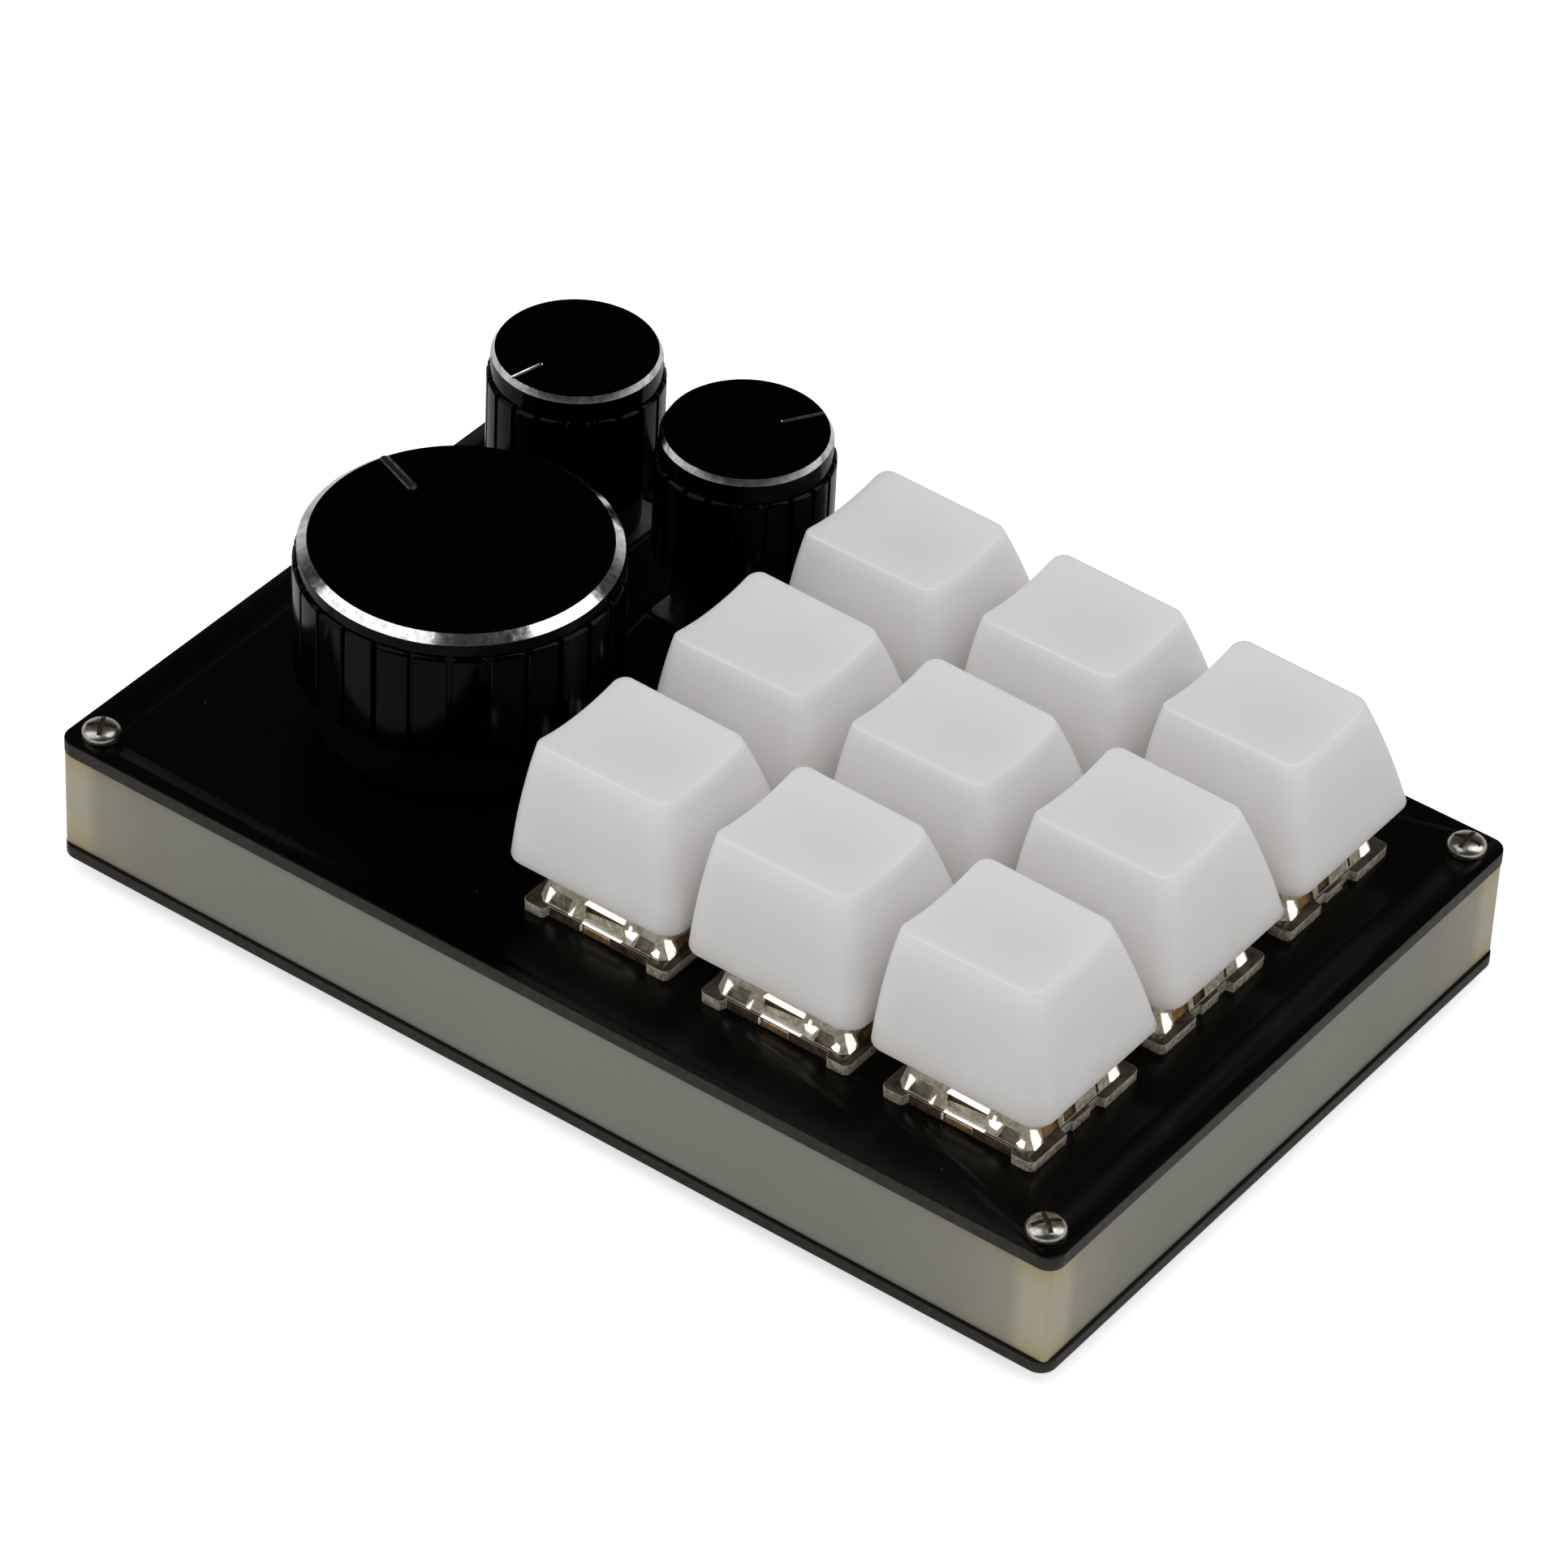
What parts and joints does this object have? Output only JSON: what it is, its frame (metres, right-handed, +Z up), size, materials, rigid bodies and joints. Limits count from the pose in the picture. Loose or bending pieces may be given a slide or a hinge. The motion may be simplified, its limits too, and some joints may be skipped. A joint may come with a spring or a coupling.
{
  "type": "macro keypad",
  "caption": "Low desk keypad: a grid of dished plunger keys, one large and two small push-and-turn knobs, on a plate and frosted frame case with a USB inlet.",
  "frame": {"origin": "middle of the case's footprint, at the underside of the rubber feet", "axes": "+Z up, +X to the user's right, +Y away from the user, towards the knobs and the USB inlet"},
  "size_m": [0.0692, 0.1072, 0.0345],
  "materials": {
    "plate_black": "black anodised, satin",
    "frosted_frame": "frosted acrylic",
    "brass_standoff": "machined",
    "nickel_screw": "nickel plated",
    "foot_rubber": "matt",
    "board": "solder-masked glass fibre",
    "chip": "moulded",
    "usb_shell": "nickel plated",
    "led": "diffused lens",
    "socket_plastic": "moulded",
    "switch_base": "clear moulded",
    "switch_cover": "clear moulded",
    "contact_metal": "copper alloy",
    "encoder_plastic": "moulded",
    "encoder_metal": "zinc, bright",
    "terminal_metal": "tinned",
    "cap_white": "fine textured, slightly see-through",
    "stem_plastic": "moulded",
    "spring_steel": "bright",
    "rotor_plastic": "moulded",
    "shaft_metal": "turned",
    "core_plastic": "moulded",
    "knob_black": "black anodised, turned, bright cut edge"
  },
  "bodies": {
    "base": {"bottom_plate": "plate_black", "side_frame": "frosted_frame", "top_plate": "plate_black", "standoffs": "brass_standoff", "top_screws": "nickel_screw", "bottom_screws": "nickel_screw", "rubber_feet": "foot_rubber", "circuit_board": "board", "controller_chip": "chip", "usb_socket": "usb_shell", "switch_leds": "led", "hot_swap_sockets": "socket_plastic", "switch_bases": "switch_base", "switch_covers": "switch_cover", "switch_contacts": "contact_metal", "encoder_bases": "encoder_plastic", "encoder_covers": "encoder_metal", "encoder_terminals": "terminal_metal", "encoder_click_domes": "terminal_metal"},
    "key_1": {"keycap_1": "cap_white", "key_stem_1": "stem_plastic", "key_spring_1": "spring_steel"},
    "key_2": {"keycap_2": "cap_white", "key_stem_2": "stem_plastic", "key_spring_2": "spring_steel"},
    "key_3": {"keycap_3": "cap_white", "key_stem_3": "stem_plastic", "key_spring_3": "spring_steel"},
    "key_4": {"keycap_4": "cap_white", "key_stem_4": "stem_plastic", "key_spring_4": "spring_steel"},
    "key_5": {"keycap_5": "cap_white", "key_stem_5": "stem_plastic", "key_spring_5": "spring_steel"},
    "key_6": {"keycap_6": "cap_white", "key_stem_6": "stem_plastic", "key_spring_6": "spring_steel"},
    "key_7": {"keycap_7": "cap_white", "key_stem_7": "stem_plastic", "key_spring_7": "spring_steel"},
    "key_8": {"keycap_8": "cap_white", "key_stem_8": "stem_plastic", "key_spring_8": "spring_steel"},
    "key_9": {"keycap_9": "cap_white", "key_stem_9": "stem_plastic", "key_spring_9": "spring_steel"},
    "rotor_1": {"encoder_rotor_1": "rotor_plastic"},
    "knob_1": {"encoder_shaft_1": "shaft_metal", "knob_core_1": "core_plastic", "knob_shell_1": "knob_black"},
    "rotor_2": {"encoder_rotor_2": "rotor_plastic"},
    "knob_2": {"encoder_shaft_2": "shaft_metal", "knob_core_2": "core_plastic", "knob_shell_2": "knob_black"},
    "rotor_3": {"encoder_rotor_3": "rotor_plastic"},
    "knob_3": {"encoder_shaft_3": "shaft_metal", "knob_core_3": "core_plastic", "knob_shell_3": "knob_black"}
  },
  "joints": [
    {"name": "key_1_press", "type": "slide", "parent": "base", "child": "key_1", "axis": [0, 0, -1], "range_m": [0, 0.004], "stiffness_N_per_m": 75, "springref_m": -0.004, "deforming": ["key_spring_1"]},
    {"name": "key_2_press", "type": "slide", "parent": "base", "child": "key_2", "axis": [0, 0, -1], "range_m": [0, 0.004], "stiffness_N_per_m": 75, "springref_m": -0.004, "deforming": ["key_spring_2"]},
    {"name": "key_3_press", "type": "slide", "parent": "base", "child": "key_3", "axis": [0, 0, -1], "range_m": [0, 0.004], "stiffness_N_per_m": 75, "springref_m": -0.004, "deforming": ["key_spring_3"]},
    {"name": "key_4_press", "type": "slide", "parent": "base", "child": "key_4", "axis": [0, 0, -1], "range_m": [0, 0.004], "stiffness_N_per_m": 75, "springref_m": -0.004, "deforming": ["key_spring_4"]},
    {"name": "key_5_press", "type": "slide", "parent": "base", "child": "key_5", "axis": [0, 0, -1], "range_m": [0, 0.004], "stiffness_N_per_m": 75, "springref_m": -0.004, "deforming": ["key_spring_5"]},
    {"name": "key_6_press", "type": "slide", "parent": "base", "child": "key_6", "axis": [0, 0, -1], "range_m": [0, 0.004], "stiffness_N_per_m": 75, "springref_m": -0.004, "deforming": ["key_spring_6"]},
    {"name": "key_7_press", "type": "slide", "parent": "base", "child": "key_7", "axis": [0, 0, -1], "range_m": [0, 0.004], "stiffness_N_per_m": 75, "springref_m": -0.004, "deforming": ["key_spring_7"]},
    {"name": "key_8_press", "type": "slide", "parent": "base", "child": "key_8", "axis": [0, 0, -1], "range_m": [0, 0.004], "stiffness_N_per_m": 75, "springref_m": -0.004, "deforming": ["key_spring_8"]},
    {"name": "key_9_press", "type": "slide", "parent": "base", "child": "key_9", "axis": [0, 0, -1], "range_m": [0, 0.004], "stiffness_N_per_m": 75, "springref_m": -0.004, "deforming": ["key_spring_9"]},
    {"name": "knob_1_turn", "type": "hinge", "parent": "base", "child": "rotor_1", "pos_m": [-0.00953, 0.02858, 0.0129], "axis": [0, 0, 1], "continuous": true},
    {"name": "knob_1_click", "type": "slide", "parent": "rotor_1", "child": "knob_1", "axis": [0, 0, -1], "range_m": [0, 0.0005], "stiffness_N_per_m": 3000, "springref_m": -0.0005},
    {"name": "knob_2_turn", "type": "hinge", "parent": "base", "child": "rotor_2", "pos_m": [0.01905, 0.0381, 0.0129], "axis": [0, 0, 1], "continuous": true},
    {"name": "knob_2_click", "type": "slide", "parent": "rotor_2", "child": "knob_2", "axis": [0, 0, -1], "range_m": [0, 0.0005], "stiffness_N_per_m": 3000, "springref_m": -0.0005},
    {"name": "knob_3_turn", "type": "hinge", "parent": "base", "child": "rotor_3", "pos_m": [0.01905, 0.01905, 0.0129], "axis": [0, 0, 1], "continuous": true},
    {"name": "knob_3_click", "type": "slide", "parent": "rotor_3", "child": "knob_3", "axis": [0, 0, -1], "range_m": [0, 0.0005], "stiffness_N_per_m": 3000, "springref_m": -0.0005}
  ]
}
